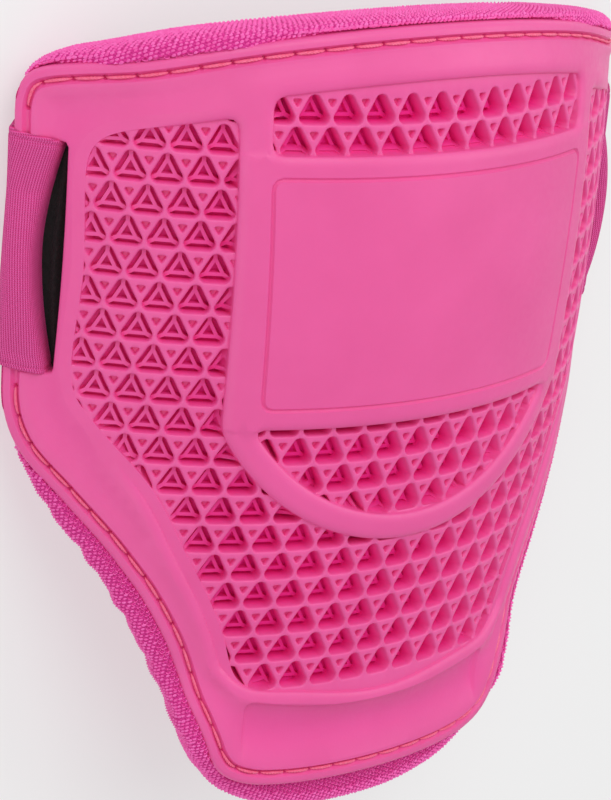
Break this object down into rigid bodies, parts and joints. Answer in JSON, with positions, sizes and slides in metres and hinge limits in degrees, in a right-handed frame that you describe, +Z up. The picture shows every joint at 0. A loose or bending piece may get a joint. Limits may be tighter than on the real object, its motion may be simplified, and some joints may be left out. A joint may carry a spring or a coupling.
{
  "type": "batter's elbow guard",
  "caption": "Curved batter's elbow guard: moulded shell with a lattice of pockets and a plain panel, a padded fabric liner and a wide elastic strap round the back.",
  "frame": {"origin": "under the middle of the guard's box, on the table that it lies on", "axes": "+Z up, out of the nose of the shell, +Y along the arm towards the guard's top, +X to the right as the nose is seen"},
  "size_m": [0.135, 0.1446, 0.0411],
  "materials": {
    "shell": "satin moulded pink elastomer",
    "liner": "coarse pink twill over foam",
    "strap": "ribbed pink elastic webbing",
    "hook_tab": "black hook-and-loop"
  },
  "bodies": {
    "root": {"shell": "shell", "liner": "liner", "strap": "strap", "hook_tab_left": "hook_tab", "hook_tab_right": "hook_tab"}
  },
  "joints": []
}
